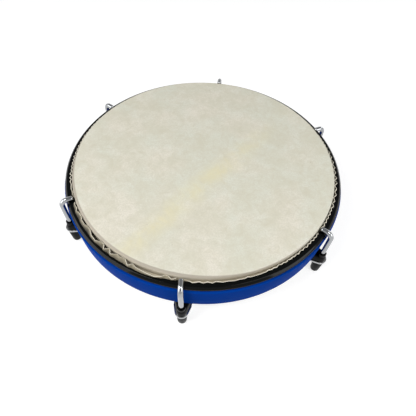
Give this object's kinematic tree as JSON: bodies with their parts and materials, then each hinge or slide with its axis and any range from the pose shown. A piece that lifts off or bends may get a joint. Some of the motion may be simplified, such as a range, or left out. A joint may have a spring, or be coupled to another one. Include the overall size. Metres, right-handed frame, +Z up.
{
  "type": "hand drum",
  "caption": "Tunable frame drum with a natural skin head, a black tension hoop pulled down by hook bolts, and a shallow plastic shell standing on its tuning nuts.",
  "frame": {"origin": "on the drum's axis, level with the ends of the tuning nuts that it stands on", "axes": "+Z up along the drum's axis, out of the playing face; -Y towards the front hook bolt; +X to the right"},
  "size_m": [0.3238, 0.3466, 0.0753],
  "materials": {
    "blue_plastic": "satin blue moulded plastic",
    "skin": "matt natural goatskin, cream with faint mottling",
    "hoop_wood": "bare bent wood, hidden in the skin's fold",
    "black_enamel": "glossy black enamel",
    "bolt_chrome": "polished chrome plate",
    "plate_chrome": "polished chrome plate",
    "black_plastic": "black moulded plastic, slightly shiny",
    "screw_steel": "bright zinc plate",
    "nut_black": "satin black coating"
  },
  "bodies": {
    "drum_body": {"shell": "blue_plastic", "bearing_ring": "blue_plastic", "head_skin": "skin", "flesh_hoop": "hoop_wood", "tension_hoop": "black_enamel", "lug_plate_1": "plate_chrome", "lug_plate_2": "plate_chrome", "lug_plate_3": "plate_chrome", "lug_plate_4": "plate_chrome", "lug_plate_5": "plate_chrome", "lug_plate_6": "plate_chrome", "lug_block_1": "black_plastic", "lug_block_2": "black_plastic", "lug_block_3": "black_plastic", "lug_block_4": "black_plastic", "lug_block_5": "black_plastic", "lug_block_6": "black_plastic", "lug_screw_1a": "screw_steel", "lug_screw_1b": "screw_steel", "lug_screw_2a": "screw_steel", "lug_screw_2b": "screw_steel", "lug_screw_3a": "screw_steel", "lug_screw_3b": "screw_steel", "lug_screw_4a": "screw_steel", "lug_screw_4b": "screw_steel", "lug_screw_5a": "screw_steel", "lug_screw_5b": "screw_steel", "lug_screw_6a": "screw_steel", "lug_screw_6b": "screw_steel"},
    "nut_1": {"tuning_nut_1": "nut_black"},
    "nut_2": {"tuning_nut_2": "nut_black"},
    "nut_3": {"tuning_nut_3": "nut_black"},
    "nut_4": {"tuning_nut_4": "nut_black"},
    "nut_5": {"tuning_nut_5": "nut_black"},
    "nut_6": {"tuning_nut_6": "nut_black"},
    "hook_1": {"hook_bolt_1": "bolt_chrome"},
    "hook_2": {"hook_bolt_2": "bolt_chrome"},
    "hook_3": {"hook_bolt_3": "bolt_chrome"},
    "hook_4": {"hook_bolt_4": "bolt_chrome"},
    "hook_5": {"hook_bolt_5": "bolt_chrome"},
    "hook_6": {"hook_bolt_6": "bolt_chrome"}
  },
  "joints": [
    {"name": "nut_1_turn", "type": "hinge", "parent": "drum_body", "child": "nut_1", "pos_m": [0, -0.166, 0.0227], "axis": [0, 0, 1], "range_deg": [-2160, 0]},
    {"name": "nut_2_turn", "type": "hinge", "parent": "drum_body", "child": "nut_2", "pos_m": [0.14376, -0.083, 0.0227], "axis": [0, 0, 1], "range_deg": [-2160, 0]},
    {"name": "nut_3_turn", "type": "hinge", "parent": "drum_body", "child": "nut_3", "pos_m": [0.14376, 0.083, 0.0227], "axis": [0, 0, 1], "range_deg": [-2160, 0]},
    {"name": "nut_4_turn", "type": "hinge", "parent": "drum_body", "child": "nut_4", "pos_m": [0, 0.166, 0.0227], "axis": [0, 0, 1], "range_deg": [-2160, 0]},
    {"name": "nut_5_turn", "type": "hinge", "parent": "drum_body", "child": "nut_5", "pos_m": [-0.14376, 0.083, 0.0227], "axis": [0, 0, 1], "range_deg": [-2160, 0]},
    {"name": "nut_6_turn", "type": "hinge", "parent": "drum_body", "child": "nut_6", "pos_m": [-0.14376, -0.083, 0.0227], "axis": [0, 0, 1], "range_deg": [-2160, 0]},
    {"name": "hook_1_lift", "type": "slide", "parent": "drum_body", "child": "hook_1", "axis": [0, 0, 1], "range_m": [0, 0.006]},
    {"name": "hook_2_lift", "type": "slide", "parent": "drum_body", "child": "hook_2", "axis": [0, 0, 1], "range_m": [0, 0.006]},
    {"name": "hook_3_lift", "type": "slide", "parent": "drum_body", "child": "hook_3", "axis": [0, 0, 1], "range_m": [0, 0.006]},
    {"name": "hook_4_lift", "type": "slide", "parent": "drum_body", "child": "hook_4", "axis": [0, 0, 1], "range_m": [0, 0.006]},
    {"name": "hook_5_lift", "type": "slide", "parent": "drum_body", "child": "hook_5", "axis": [0, 0, 1], "range_m": [0, 0.006]},
    {"name": "hook_6_lift", "type": "slide", "parent": "drum_body", "child": "hook_6", "axis": [0, 0, 1], "range_m": [0, 0.006]}
  ],
  "couplings": [
    {"joint": "hook_1_lift", "follows": "nut_1_turn", "m_per_rad": -0.00015915},
    {"joint": "hook_2_lift", "follows": "nut_2_turn", "m_per_rad": -0.00015915},
    {"joint": "hook_3_lift", "follows": "nut_3_turn", "m_per_rad": -0.00015915},
    {"joint": "hook_4_lift", "follows": "nut_4_turn", "m_per_rad": -0.00015915},
    {"joint": "hook_5_lift", "follows": "nut_5_turn", "m_per_rad": -0.00015915},
    {"joint": "hook_6_lift", "follows": "nut_6_turn", "m_per_rad": -0.00015915}
  ]
}
